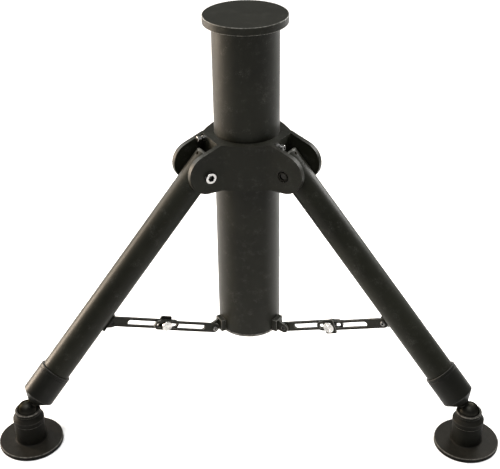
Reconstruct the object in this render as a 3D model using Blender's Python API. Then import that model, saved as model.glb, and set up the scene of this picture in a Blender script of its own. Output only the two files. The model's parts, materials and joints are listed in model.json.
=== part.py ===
"""Folding pier tripod: a round column on three hinged legs, with slotted braces and ball-jointed pad feet.

The origin is the centre of the head flange's top face, +Z is up, and the unit is the metre.
Inside a leg's own plane a place is given by its distance from the column's axis, its offset across the
plane and its height above the ground.
"""

import math

import bmesh
import bpy
from mathutils import Matrix

# Whole stand
HEIGHT = 0.9516  # ground to head face
LEG_NAMES = ("left", "right", "rear")
LEG_AZIMUTHS = (210.0, 330.0, 90.0)
GAP = 0.0003  # between faces that touch
FIT = 0.0004  # round a shank in its hole
CUT_PAST = 0.01  # how far a cutter runs past the face that it opens

# Column
COLUMN_R = 0.0762
COLUMN_WALL = 0.0032
COLUMN_BOTTOM = 0.1447
BOTTOM_CAP_T = 0.006
BOTTOM_SPIGOT = 0.014
FLANGE_R = 0.0957
FLANGE_T = 0.018
FLANGE_CHAMFER = 0.0012
FLANGE_SPIGOT = 0.024
SPIGOT_WALL = 0.005

# Hub: three brackets between the legs, three spacers behind the legs
HUB_BOTTOM = 0.562
HUB_TOP = 0.6748
WEB_FRONT = 0.0915  # from the column's axis to the middle of a bracket's outer face
WEB_BEND = 0.25  # radius of that face, which is nearly flat
WEB_END = 0.0906  # distance, in a leg's plane, where the web's ends stop inside the ears
EAR_START = 0.0806  # distance where an ear's plate starts inside the web
EAR_INNER = 0.0357  # offset of an ear's inner face from the leg's plane
EAR_T = 0.012
EAR_CORNER = 0.0926  # distance where an ear's top edge starts to slope
LOBE_DISTANCE = 0.1227
LOBE_HEIGHT = 0.611
LOBE_R = 0.049
SPACER_FACE = 0.096
NUT_RECESS_R = 0.0135
NUT_RECESS_DEPTH = 0.007

# Leg
PIVOT_DISTANCE = 0.1226
PIVOT_HEIGHT = 0.6038
LEG_LEAN = math.radians(42.78)  # from the vertical
LEG_R = 0.0338
LEG_WALL = 0.003
LEG_REACH = 0.697  # pivot to ball centre
LEG_OVERHANG = 0.039  # past the pivot
LEG_PLUG = 0.022  # solid end fitting below the pivot
LEG_TUBE_END = 0.625
LEG_END_EDGE = 0.006
LEG_END_CLEAR = 0.0255  # the tube's end stays this close to the pivot on the spacer's side
LEG_FOLD_IN = math.radians(12.0)
LEG_SPLAY_OUT = math.radians(5.0)
BOSS_R = 0.015
PIVOT_BOLT_R = 0.008
BOSS_CLEAR = 0.0005  # from the boss to each ear
PIVOT_HEAD_R = 0.013
PIVOT_HEAD_T = 0.008
PIVOT_HEAD_EDGE = 0.001
PIVOT_NUT_R = 0.012
PIVOT_NUT_T = 0.0065

# Levelling sleeve and ball stud
SLEEVE_R = 0.0383
SLEEVE_EDGE = 0.001
SLEEVE_TOP = 0.580
SLEEVE_CONE = 0.653
SLEEVE_END = 0.672
SLEEVE_TIP_R = 0.016
SLEEVE_SHOULDER = 0.632
STUD_SHANK_R = 0.010
STUD_SHANK_TOP = 0.560
BALL_R = 0.024
NECK_R = 0.0135
NECK_CLEAR = 0.0015  # from the neck's end to the sleeve

# Foot
FOOT_R = 0.0748
FOOT_DISC_T = 0.011
FOOT_EDGE = 0.0018
FOOT_HUB_R = 0.0352
FOOT_HUB_ROOT = 0.012
FOOT_HUB_TOP = 0.0615
FOOT_BOSS_R = 0.032
FOOT_BOSS_TOP = 0.074
CAP_COLLAR_R = 0.0362
CAP_COLLAR_EDGE = 0.0008
CAP_COLLAR_TOP = 0.0735
CAP_GROOVE_R = 0.028
CAP_GROOVE_BOTTOM = 0.0825
CAP_GROOVE_TOP = 0.0862
CAP_LIP_R = 0.0298
CAP_LIP_EDGE = 0.0015
CAP_TOP = 0.095
CAP_BORE_R = 0.0262
CAP_BORE_BOTTOM = 0.076
CAP_BORE_TOP = 0.0905
MOUTH_R = 0.0245
LINER_INNER_R = 0.0250
LINER_OUTER_R = 0.0268
SEAT_R = 0.0276
LINER_HOLE = math.radians(16.0)
LINER_EDGE = math.radians(48.0)

# Braces
COLUMN_PIN = (0.102, 0.157)  # distance, height
LEG_PIN = (0.370, 0.265)
BAR_HALF = 0.0125
BAR_T = 0.0057
SLOT_HALF = 0.0063
PIN_R = 0.0045
PIN_HEAD_R = 0.0065
PIN_HEAD_T = 0.0045
INNER_SLOT = (0.0365, 0.1607)  # first and last bolt place, from the bar's pin
OUTER_SLOT = (0.051, 0.174)
LUG_T = 0.006
LUG_BASE_HALF = 0.015
LUG_INSET = 0.002  # an ear's root is this much smaller than its base
COLUMN_LUG_TOP = 0.1785
COLUMN_LUG_BOTTOM = 0.147
COLUMN_LUG_DEPTH = 0.0115
LEG_LUG_HALF = 0.022
LEG_LUG_DEPTH = 0.005
LEG_LUG_WIDTH = 0.022

# Brace clamp
CLAMP_PLACE = 0.140  # from the column pin, along the inner bar
CLAMP_LENGTH = 0.031
CLAMP_HEIGHT = 0.038
CLAMP_T = 0.004
CLAMP_CORNER = 0.004
CLAMP_BOLT_R = 0.0045
CLAMP_HEAD_R = 0.0125
CLAMP_HEAD_T = 0.0045
KNOB_R = 0.014
KNOB_T = 0.0045
KNOB_EDGE = 0.0012
KNOB_HOLE = 0.0033
BOLT_END_CLEAR = 0.001  # from the bolt's end to the knob's floor

# Facets round a full turn
FINE = 40
ROUND = 24
MEDIUM = 16
SMALL = 12


def clear_scene():
    for item in list(bpy.data.objects):
        bpy.data.objects.remove(item, do_unlink=True)


def finish(name, colour, roughness, metallic):
    """A plain material of one colour."""
    material = bpy.data.materials.new(name)
    material.use_nodes = True
    shader = material.node_tree.nodes["Principled BSDF"]
    shader.inputs["Base Color"].default_value = (*colour, 1.0)
    shader.inputs["Roughness"].default_value = roughness
    shader.inputs["Metallic"].default_value = metallic
    return material


# ---- Outlines: lists of (x, y) pairs ----


def arc(centre, radius, start, end, steps):
    """Points from one angle to another, both ends included."""
    turns = (start + (end - start) * i / steps for i in range(steps + 1))
    return [(centre[0] + radius * math.cos(a), centre[1] + radius * math.sin(a)) for a in turns]


def circle(centre, radius, steps=ROUND):
    return arc(centre, radius, 0.0, math.tau, steps)[:-1]


def stadium(start, end, half, steps=10):
    """A slot's outline along X, from the centre of one round end to the centre of the other."""
    near = arc((start, 0.0), half, math.pi / 2, 3 * math.pi / 2, steps)
    far = arc((end, 0.0), half, -math.pi / 2, math.pi / 2, steps)
    return near + far


def rounded_box(length, height, corner, steps=3):
    points = []
    for i, (sx, sy) in enumerate(((1, 1), (-1, 1), (-1, -1), (1, -1))):
        centre = (sx * (length / 2 - corner), sy * (height / 2 - corner))
        points += arc(centre, corner, i * math.pi / 2, (i + 1) * math.pi / 2, steps)
    return points


# ---- Solids: each returns a mesh ----


def to_mesh(name, solid):
    bmesh.ops.recalc_face_normals(solid, faces=solid.faces)
    mesh = bpy.data.meshes.new(name)
    solid.to_mesh(mesh)
    solid.free()
    return mesh


def turned(name, profile, steps=ROUND):
    """A closed (radius, height) outline turned about Z; a radius of 0 lies on the axis."""
    solid = bmesh.new()
    rings = []
    for radius, height in profile:
        if radius == 0.0:
            rings.append([solid.verts.new((0.0, 0.0, height))] * steps)
        else:
            rings.append([solid.verts.new((x, y, height)) for x, y in circle((0.0, 0.0), radius, steps)])
    for lower, upper in zip(rings, rings[1:] + rings[:1]):
        for i in range(steps):
            j = (i + 1) % steps
            corners = list(dict.fromkeys((lower[i], lower[j], upper[j], upper[i])))
            if len(corners) > 2:
                solid.faces.new(corners)
    return to_mesh(name, solid)


def plate(name, outline, low, high, holes=()):
    """An outline in X and Y, with holes, extruded along Z."""
    solid = bmesh.new()
    edges = []
    for loop in (outline, *holes):
        corners = [solid.verts.new((x, y, low)) for x, y in loop]
        edges += [solid.edges.new(pair) for pair in zip(corners, corners[1:] + corners[:1])]
    bmesh.ops.triangle_fill(solid, edges=edges, use_beauty=True, use_dissolve=False)
    raised = bmesh.ops.extrude_face_region(solid, geom=list(solid.faces), use_keep_orig=True)
    top = [item for item in raised["geom"] if isinstance(item, bmesh.types.BMVert)]
    bmesh.ops.translate(solid, verts=top, vec=(0.0, 0.0, high - low))
    return to_mesh(name, solid)


def upright(mesh):
    """Stands a plate up: its X stays, its Y becomes height, and its thickness runs across the leg's plane."""
    mesh.transform(Matrix.Rotation(math.pi / 2, 4, "X") @ Matrix.Diagonal((1.0, 1.0, -1.0, 1.0)))
    mesh.flip_normals()
    return mesh


def crosswise(mesh, distance=0.0, height=0.0):
    """Lays a turned piece across the leg's plane: its axis points along +Y."""
    mesh.transform(Matrix.Translation((distance, 0.0, height)) @ Matrix.Rotation(-math.pi / 2, 4, "X"))
    return mesh


def combined(base, steps):
    """The base mesh after each (operation, mesh) pair of Boolean steps, as a new mesh."""
    body = bpy.data.objects.new("body", base)
    bpy.context.scene.collection.objects.link(body)
    tools = []
    for operation, mesh in steps:
        tool = bpy.data.objects.new("tool", mesh)
        tool.hide_render = True
        tool.display_type = "WIRE"
        bpy.context.scene.collection.objects.link(tool)
        tools.append(tool)
        modifier = body.modifiers.new(operation.lower(), "BOOLEAN")
        modifier.operation = operation
        modifier.solver = "EXACT"
        modifier.object = tool
    bpy.context.view_layer.update()
    graph = bpy.context.evaluated_depsgraph_get()
    result = bpy.data.meshes.new_from_object(body.evaluated_get(graph))
    name = base.name
    for item in (body, *tools):
        bpy.data.objects.remove(item, do_unlink=True)
    bpy.data.meshes.remove(base)
    result.name = name
    return result


# ---- Placing ----


def empty(name, parent=None, location=(0.0, 0.0, 0.0), rotation=(0.0, 0.0, 0.0)):
    guide = bpy.data.objects.new(name, None)
    guide.parent = parent
    guide.location = location
    guide.rotation_euler = rotation
    guide.empty_display_size = 0.03
    bpy.context.scene.collection.objects.link(guide)
    return guide


def piece(name, mesh, material, parent):
    """Puts a sub-part under its frame, shaded smooth except at its edges."""
    mesh.shade_smooth()
    mesh.set_sharp_from_angle(angle=math.radians(35.0))
    item = bpy.data.objects.new(name, mesh)
    item.parent = parent
    bpy.context.scene.collection.objects.link(item)
    if not mesh.materials:
        mesh.materials.append(material)
    else:
        mesh.materials[0] = material
    return item


# ---- Column ----


def column_tube():
    low = COLUMN_BOTTOM + BOTTOM_CAP_T + GAP
    high = HEIGHT - FLANGE_T - GAP
    inner = COLUMN_R - COLUMN_WALL
    return turned("column_tube", [(COLUMN_R, low), (COLUMN_R, high), (inner, high), (inner, low)], FINE)


def head_flange():
    """A solid disc with a ring under it that sits in the tube."""
    under = HEIGHT - FLANGE_T
    spigot = COLUMN_R - COLUMN_WALL - FIT
    outline = [
        (0.0, under),
        (spigot - SPIGOT_WALL, under),
        (spigot - SPIGOT_WALL, under - FLANGE_SPIGOT),
        (spigot, under - FLANGE_SPIGOT),
        (spigot, under),
        (FLANGE_R - FLANGE_CHAMFER, under),
        (FLANGE_R, under + FLANGE_CHAMFER),
        (FLANGE_R, HEIGHT - FLANGE_CHAMFER),
        (FLANGE_R - FLANGE_CHAMFER, HEIGHT),
        (0.0, HEIGHT),
    ]
    return turned("head_flange", outline, FINE)


def column_bottom_cap():
    top = COLUMN_BOTTOM + BOTTOM_CAP_T
    spigot = COLUMN_R - COLUMN_WALL - FIT
    outline = [
        (0.0, COLUMN_BOTTOM),
        (COLUMN_R, COLUMN_BOTTOM),
        (COLUMN_R, top),
        (spigot, top),
        (spigot, top + BOTTOM_SPIGOT),
        (spigot - SPIGOT_WALL, top + BOTTOM_SPIGOT),
        (spigot - SPIGOT_WALL, top),
        (0.0, top),
    ]
    return turned("column_bottom_cap", outline, FINE)


# ---- Hub ----


def ear_outline(start):
    """Side view of one ear from a distance of start outwards: a sloping top edge and a round lobe."""
    reach = math.hypot(LOBE_DISTANCE - EAR_CORNER, HUB_TOP - LOBE_HEIGHT)
    toward_corner = math.atan2(HUB_TOP - LOBE_HEIGHT, EAR_CORNER - LOBE_DISTANCE)
    tangent = toward_corner - math.acos(LOBE_R / reach)
    lobe = arc((LOBE_DISTANCE, LOBE_HEIGHT), LOBE_R, -math.pi / 2, tangent, 20)
    return [(start, HUB_BOTTOM), *lobe, (EAR_CORNER, HUB_TOP), (start, HUB_TOP)]


def web_outline():
    """Plan view of a bracket's middle, about its own +X: a nearly flat web that ends inside its two ears."""
    outer = EAR_INNER + EAR_T
    inside = COLUMN_R + GAP
    ear_turn = math.radians(60.0)
    inner_angle = math.asin(EAR_INNER / inside)
    root = [(inside * math.cos(inner_angle), EAR_INNER), (WEB_END, EAR_INNER), (WEB_END, outer)]
    turn_cos = math.cos(-ear_turn)
    turn_sin = math.sin(-ear_turn)
    root = [(x * turn_cos - y * turn_sin, x * turn_sin + y * turn_cos) for x, y in root]
    middle = WEB_FRONT - WEB_BEND
    to_ear_face = math.acos((outer - middle * math.sin(ear_turn)) / WEB_BEND)
    swing = to_ear_face - (math.pi / 2 - ear_turn)
    front = arc((middle, 0.0), WEB_BEND, -swing, swing, 8)
    inner_end = ear_turn - inner_angle
    back = arc((0.0, 0.0), inside, inner_end, -inner_end, 8)[1:-1]
    mirrored = [(x, -y) for x, y in reversed(root)]
    return root + front + mirrored + back


def turned_about_column(mesh, degrees):
    mesh.transform(Matrix.Rotation(math.radians(degrees), 4, "Z"))
    return mesh


def hub_bracket():
    """One bracket, about its own +X: its ears serve the legs 60 degrees to either side."""
    steps = []
    for leg, side in ((-60.0, 1.0), (60.0, -1.0)):
        faces = sorted((side * EAR_INNER, side * (EAR_INNER + EAR_T)))
        ear = upright(plate("ear", ear_outline(EAR_START), *faces))
        steps.append(("UNION", turned_about_column(ear, leg)))
    outer = EAR_INNER + EAR_T
    through = outer + CUT_PAST
    for leg in (-60.0, 60.0):
        bore = turned("bore", shaft(PIVOT_BOLT_R + FIT, -through, through), SMALL)
        steps.append(("DIFFERENCE", turned_about_column(crosswise(bore, PIVOT_DISTANCE, PIVOT_HEIGHT), leg)))
    recess = turned("recess", shaft(NUT_RECESS_R, -through, -outer + NUT_RECESS_DEPTH))
    steps.append(("DIFFERENCE", turned_about_column(crosswise(recess, PIVOT_DISTANCE, PIVOT_HEIGHT), 60.0)))
    return combined(plate("hub_bracket", web_outline(), HUB_BOTTOM, HUB_TOP), steps)


def shaft(radius, low, high):
    return [(0.0, low), (radius, low), (radius, high), (0.0, high)]


def hub_spacer():
    """Fills the space between two ears behind a leg, flush with the hub's top."""
    half = EAR_INNER - GAP
    inside = COLUMN_R + GAP
    angle = math.asin(half / inside)
    back = arc((0.0, 0.0), inside, angle, -angle, 8)
    return plate("hub_spacer", [(SPACER_FACE, -half), (SPACER_FACE, half), *back], HUB_BOTTOM, HUB_TOP)


def pivot_bolt():
    """Cap screw through both ears: its head is on the +Y side."""
    head = EAR_INNER + EAR_T + GAP
    tip = -head + GAP
    outline = [
        (0.0, tip),
        (PIVOT_BOLT_R, tip),
        (PIVOT_BOLT_R, head),
        (PIVOT_HEAD_R, head),
        (PIVOT_HEAD_R, head + PIVOT_HEAD_T - PIVOT_HEAD_EDGE),
        (PIVOT_HEAD_R - PIVOT_HEAD_EDGE, head + PIVOT_HEAD_T),
        (0.0, head + PIVOT_HEAD_T),
    ]
    return crosswise(turned("pivot_bolt", outline, MEDIUM))


def pivot_nut():
    """Six-sided nut in the recess of the far ear."""
    base = -(EAR_INNER + EAR_T - NUT_RECESS_DEPTH) - GAP
    hexagon = circle((0.0, 0.0), PIVOT_NUT_R, 6)
    hole = circle((0.0, 0.0), PIVOT_BOLT_R + FIT)
    return crosswise(plate("pivot_nut", hexagon, base - PIVOT_NUT_T, base, holes=[hole]))


# ---- Leg: the leg's frame has its origin on the pivot and +Z up along the leg ----


def leg_tube():
    """A tube with a solid end fitting, bored for the pivot, its end cut back where it passes the spacer."""
    rounding = arc((LEG_R - LEG_END_EDGE, LEG_OVERHANG - LEG_END_EDGE), LEG_END_EDGE, math.pi / 2, 0.0, 3)
    outline = [
        (0.0, LEG_OVERHANG),
        *rounding,
        (LEG_R, -LEG_TUBE_END),
        (LEG_R - LEG_WALL, -LEG_TUBE_END),
        (LEG_R - LEG_WALL, -LEG_PLUG),
        (0.0, -LEG_PLUG),
    ]
    boss_half = EAR_INNER - BOSS_CLEAR
    through = EAR_INNER + CUT_PAST
    boss = crosswise(turned("boss", shaft(BOSS_R, -boss_half, boss_half), SMALL))
    bore = crosswise(turned("bore", shaft(PIVOT_BOLT_R + FIT, -through, through), SMALL))
    steps = [("UNION", boss), ("DIFFERENCE", end_cutter()), ("DIFFERENCE", bore)]
    return combined(turned("leg_tube", outline), steps)


def end_cutter():
    """Everything past an arc about the pivot, over the angles that face the spacer as the leg swings."""
    first = math.pi - (LEG_LEAN - LEG_FOLD_IN)
    last = math.pi - (LEG_LEAN + LEG_SPLAY_OUT)
    bend = arc((0.0, 0.0), LEG_END_CLEAR, last, first, 4)
    reach = 1.1 * LEG_R
    start = (bend[0][0] + reach * math.sin(last), bend[0][1] - reach * math.cos(last))
    end = (bend[-1][0] - reach * math.sin(first), bend[-1][1] + reach * math.cos(first))
    far = -2.0 * LEG_OVERHANG
    outline = [start, *bend, end, (far, end[1]), (far, start[1])]
    through = EAR_INNER + CUT_PAST
    return upright(plate("end_cutter", outline, -through, through))


def level_sleeve():
    """A sleeve over the tube's end, coned down to the neck of the ball stud."""
    bore = LEG_R + FIT
    shank = STUD_SHANK_R + FIT
    outline = [
        (bore, -SLEEVE_TOP),
        (SLEEVE_R - SLEEVE_EDGE, -SLEEVE_TOP),
        (SLEEVE_R, -SLEEVE_TOP - SLEEVE_EDGE),
        (SLEEVE_R, -SLEEVE_CONE),
        (SLEEVE_TIP_R, -SLEEVE_END),
        (shank, -SLEEVE_END),
        (shank, -SLEEVE_SHOULDER),
        (bore, -SLEEVE_SHOULDER),
    ]
    return turned("level_sleeve", outline)


def ball_stud():
    """A ball, its neck and its threaded shank, about the ball's centre with +Z up along the leg."""
    steps = 7
    first = math.asin(NECK_R / BALL_R)
    ball = [(BALL_R * math.sin(a), BALL_R * math.cos(a))
            for a in (math.pi + (first - math.pi) * i / steps for i in range(steps + 1))]
    ball[0] = (0.0, -BALL_R)
    seat = LEG_REACH - SLEEVE_END - NECK_CLEAR
    top = LEG_REACH - STUD_SHANK_TOP
    outline = [*ball, (NECK_R, seat), (STUD_SHANK_R, seat), (STUD_SHANK_R, top), (0.0, top)]
    return turned("ball_stud", outline, MEDIUM)


# ---- Foot: turned pieces about the ball's centre, +Z up ----


def bowl(radius, start, end, steps):
    """Points down in a sphere's lower half; the angles are from straight down."""
    angles = (start + (end - start) * i / steps for i in range(steps + 1))
    return [(radius * math.sin(a), -radius * math.cos(a)) for a in angles]


def ball_liner():
    inside = bowl(LINER_INNER_R, LINER_EDGE, LINER_HOLE, 3)
    outside = bowl(LINER_OUTER_R, LINER_HOLE, LINER_EDGE, 3)
    return turned("ball_liner", inside + outside, MEDIUM)


def foot_base():
    ground = -ball_height()
    top = ground + FOOT_BOSS_TOP
    seat_edge = math.acos(-top / SEAT_R)
    seat = bowl(SEAT_R, seat_edge, 0.0, 4)[:-1]
    outline = [
        (0.0, ground),
        (FOOT_R - FOOT_EDGE, ground),
        (FOOT_R, ground + FOOT_EDGE),
        (FOOT_R, ground + FOOT_DISC_T - FOOT_EDGE),
        (FOOT_R - FOOT_EDGE, ground + FOOT_DISC_T),
        (FOOT_HUB_R, ground + FOOT_HUB_ROOT),
        (FOOT_HUB_R, ground + FOOT_HUB_TOP),
        (FOOT_BOSS_R, ground + FOOT_HUB_TOP),
        (FOOT_BOSS_R, top),
        *seat,
        (0.0, -SEAT_R),
    ]
    return turned("foot_base", outline)


def foot_cap():
    """The ring that holds the ball down: a collar, a groove and a lip round its mouth."""
    ground = -ball_height()
    inside = FOOT_BOSS_R + FIT
    low = FOOT_HUB_TOP + GAP
    outline = [
        (inside, low),
        (CAP_COLLAR_R - CAP_COLLAR_EDGE, low),
        (CAP_COLLAR_R, low + CAP_COLLAR_EDGE),
        (CAP_COLLAR_R, CAP_COLLAR_TOP),
        (CAP_GROOVE_R, CAP_GROOVE_BOTTOM),
        (CAP_GROOVE_R, CAP_GROOVE_TOP),
        (CAP_LIP_R, CAP_GROOVE_TOP + CAP_LIP_EDGE),
        (CAP_LIP_R, CAP_TOP - CAP_LIP_EDGE),
        (CAP_LIP_R - CAP_LIP_EDGE, CAP_TOP),
        (MOUTH_R, CAP_TOP),
        (MOUTH_R, CAP_BORE_TOP),
        (CAP_BORE_R, CAP_BORE_TOP),
        (CAP_BORE_R, CAP_BORE_BOTTOM),
        (inside, FOOT_BOSS_TOP + GAP),
    ]
    return turned("foot_cap", [(radius, ground + height) for radius, height in outline])


def ball_height():
    return PIVOT_HEIGHT - LEG_REACH * math.cos(LEG_LEAN)


def ball_distance():
    return PIVOT_DISTANCE + LEG_REACH * math.sin(LEG_LEAN)


# ---- Braces: the bars' frames have their origin on the bar's pin and +X outwards along the bar ----


def bar(name, slot, direction, faces):
    """A flat bar with a round hole for its pin and one long slot for the clamp."""
    first, last = sorted((direction * slot[0], direction * slot[1]))
    start, end = sorted((0.0, direction * slot[1]))
    holes = [circle((0.0, 0.0), PIN_R + FIT), stadium(first, last, SLOT_HALF)]
    return upright(plate(name, stadium(start, end, BAR_HALF), *faces, holes=holes))


def inner_bar():
    return bar("inner_bar", INNER_SLOT, 1.0, (GAP, GAP + BAR_T))


def outer_bar():
    return bar("outer_bar", OUTER_SLOT, -1.0, (-GAP - BAR_T, -GAP))


def brace_pin(name, head_side):
    """A button-head screw through a bar into its lug; the head is on the +Y or -Y side."""
    head = GAP + BAR_T + GAP
    tip = -LUG_T - GAP
    outline = [
        (0.0, tip),
        (PIN_R, tip),
        (PIN_R, head),
        (PIN_HEAD_R, head),
        (PIN_HEAD_R, head + 0.4 * PIN_HEAD_T),
        (0.62 * PIN_HEAD_R, head + PIN_HEAD_T),
        (0.0, head + PIN_HEAD_T),
    ]
    mesh = crosswise(turned(name, outline, SMALL))
    if head_side < 0.0:
        mesh.transform(Matrix.Rotation(math.pi, 4, "Z"))
    return mesh


def column_lug():
    """A block on the column with one ear beside the inner bar."""
    inside = COLUMN_R + GAP
    angle = math.asin(LUG_BASE_HALF / inside)
    face = COLUMN_R + COLUMN_LUG_DEPTH
    back = arc((0.0, 0.0), inside, angle, -angle, 6)
    outline = [(face, -LUG_BASE_HALF), (face, LUG_BASE_HALF), *back]
    base = plate("column_lug", outline, COLUMN_LUG_BOTTOM, COLUMN_LUG_TOP)
    root = COLUMN_R + 0.5 * COLUMN_LUG_DEPTH
    nose = arc(COLUMN_PIN, BAR_HALF, -math.pi / 2, math.pi / 3, 12)
    top = COLUMN_LUG_TOP - LUG_INSET
    ear_side = [
        (root, COLUMN_LUG_BOTTOM + LUG_INSET),
        (face, COLUMN_LUG_BOTTOM),
        *nose,
        (face, top),
        (root, top),
    ]
    ear = upright(plate("ear", ear_side, -GAP - LUG_T, -GAP, holes=[circle(COLUMN_PIN, PIN_R + FIT)]))
    return combined(base, [("UNION", ear)])


def leg_pin():
    """The outer bar's pin in the leg's frame: its place off the leg's axis and along it."""
    across = LEG_PIN[0] - PIVOT_DISTANCE
    up = LEG_PIN[1] - PIVOT_HEIGHT
    lean_sin = math.sin(LEG_LEAN)
    lean_cos = math.cos(LEG_LEAN)
    return (across * lean_cos + up * lean_sin, up * lean_cos - across * lean_sin)


def leg_lug():
    """A saddle on one side of the leg's underside, with one ear beside the outer bar."""
    off_axis, along = leg_pin()
    inside = LEG_R + GAP
    outside = inside + LEG_LUG_DEPTH
    near = math.pi - math.asin(GAP / inside)
    far = math.pi - math.asin(LEG_LUG_WIDTH / inside)
    outline = arc((0.0, 0.0), inside, near, far, 8) + arc((0.0, 0.0), outside, far, near, 8)
    base = plate("leg_lug", outline, along - LEG_LUG_HALF, along + LEG_LUG_HALF)
    root = -LEG_R - 0.5 * LEG_LUG_DEPTH
    nose = arc((off_axis, along), BAR_HALF, 2 * math.pi / 3, 4 * math.pi / 3, 12)
    half = LEG_LUG_HALF - LUG_INSET
    ear_side = [(root, along + half), *nose, (root, along - half)]
    ear = upright(plate("ear", ear_side, GAP, GAP + LUG_T, holes=[circle((off_axis, along), PIN_R + FIT)]))
    return combined(base, [("UNION", ear)])


# ---- Brace clamp: the clamp's frame has its origin on the bolt, between the bars ----


def clamp_bolt():
    """A round-headed bolt through both slots, its head on the +Y side."""
    head = GAP + BAR_T + GAP
    tip = -(GAP + BAR_T + GAP + CLAMP_T + GAP + KNOB_HOLE - BOLT_END_CLEAR)
    outline = [
        (0.0, tip),
        (CLAMP_BOLT_R, tip),
        (CLAMP_BOLT_R, head),
        (CLAMP_HEAD_R, head),
        (CLAMP_HEAD_R, head + 0.5 * CLAMP_HEAD_T),
        (0.7 * CLAMP_HEAD_R, head + CLAMP_HEAD_T),
        (0.0, head + CLAMP_HEAD_T),
    ]
    return crosswise(turned("clamp_bolt", outline, MEDIUM))


def clamp_plate():
    near = -(GAP + BAR_T + GAP)
    outline = rounded_box(CLAMP_LENGTH, CLAMP_HEIGHT, CLAMP_CORNER)
    hole = circle((0.0, 0.0), CLAMP_BOLT_R + FIT)
    return upright(plate("clamp_plate", outline, near - CLAMP_T, near, holes=[hole]))


def clamp_knob():
    """A round knob with a blind hole for the bolt's end."""
    near = -(GAP + BAR_T + GAP + CLAMP_T + GAP)
    outline = [
        (CLAMP_BOLT_R + FIT, near),
        (KNOB_R - KNOB_EDGE, near),
        (KNOB_R, near - KNOB_EDGE),
        (KNOB_R, near - KNOB_T + KNOB_EDGE),
        (KNOB_R - KNOB_EDGE, near - KNOB_T),
        (0.0, near - KNOB_T),
        (0.0, near - KNOB_HOLE),
        (CLAMP_BOLT_R + FIT, near - KNOB_HOLE),
    ]
    return crosswise(turned("clamp_knob", outline, MEDIUM))


# ---- Assembly ----


def brace_rise():
    """The bars' angle above the horizontal, from one pin to the other."""
    return math.atan2(LEG_PIN[1] - COLUMN_PIN[1], LEG_PIN[0] - COLUMN_PIN[0])


def build():
    clear_scene()
    coat = finish("black_coat", (0.022, 0.021, 0.019), 0.48, 0.0)
    cast = finish("black_casting", (0.028, 0.027, 0.025), 0.58, 0.0)
    bright = finish("bright_steel", (0.62, 0.61, 0.59), 0.24, 1.0)
    dark = finish("dark_steel", (0.09, 0.09, 0.09), 0.4, 1.0)
    nylon = finish("grey_nylon", (0.35, 0.34, 0.32), 0.55, 0.0)

    ground = empty("ground", location=(0.0, 0.0, -HEIGHT))
    for mesh in (column_tube(), head_flange(), column_bottom_cap()):
        piece(mesh.name, mesh, coat, ground)

    on_column = ((hub_spacer(), coat), (column_lug(), coat))
    on_pivot = ((pivot_bolt(), bright), (pivot_nut(), dark))
    on_leg = ((leg_tube(), coat), (level_sleeve(), coat), (leg_lug(), coat))
    on_ball = ((ball_stud(), dark),)
    on_foot = ((ball_liner(), nylon), (foot_base(), cast), (foot_cap(), cast))
    on_inner_pin = ((inner_bar(), coat), (brace_pin("inner_pin", 1.0), bright))
    on_outer_pin = ((outer_bar(), coat), (brace_pin("outer_pin", -1.0), bright))
    on_clamp = ((clamp_bolt(), bright), (clamp_plate(), coat), (clamp_knob(), bright))
    on_bracket = ((hub_bracket(), coat),)

    rise = brace_rise()
    lean = (0.0, -LEG_LEAN, 0.0)
    along_bar = (0.0, -rise, 0.0)
    pivot_place = (PIVOT_DISTANCE, 0.0, PIVOT_HEIGHT)
    ball_place = (ball_distance(), 0.0, ball_height())
    inner_place = (COLUMN_PIN[0], 0.0, COLUMN_PIN[1])
    outer_place = (LEG_PIN[0], 0.0, LEG_PIN[1])
    clamp_distance = COLUMN_PIN[0] + CLAMP_PLACE * math.cos(rise)
    clamp_place = (clamp_distance, 0.0, COLUMN_PIN[1] + CLAMP_PLACE * math.sin(rise))
    for side, azimuth in zip(LEG_NAMES, LEG_AZIMUTHS):
        spoke = empty(f"spoke_{side}", ground, rotation=(0.0, 0.0, math.radians(azimuth)))
        between = empty(f"between_{side}", ground, rotation=(0.0, 0.0, math.radians(azimuth + 60.0)))
        frames = (
            (spoke, on_column),
            (empty(f"pivot_{side}", spoke, pivot_place), on_pivot),
            (empty(f"leg_{side}", spoke, pivot_place, lean), on_leg),
            (empty(f"ball_{side}", spoke, ball_place), on_foot),
            (empty(f"ball_axis_{side}", spoke, ball_place, lean), on_ball),
            (empty(f"inner_brace_{side}", spoke, inner_place, along_bar), on_inner_pin),
            (empty(f"outer_brace_{side}", spoke, outer_place, along_bar), on_outer_pin),
            (empty(f"clamp_{side}", spoke, clamp_place, along_bar), on_clamp),
            (between, on_bracket),
        )
        for frame, group in frames:
            for mesh, material in group:
                piece(f"{mesh.name}_{side}", mesh, material, frame)


build()
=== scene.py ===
"""Looks of the folding pier tripod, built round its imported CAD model.

Metres, +Z up. The origin is the middle of the head plate's top face.
"""

import json
import math

import bmesh
import bpy
import numpy as np
from mathutils import Matrix, Vector


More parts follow.
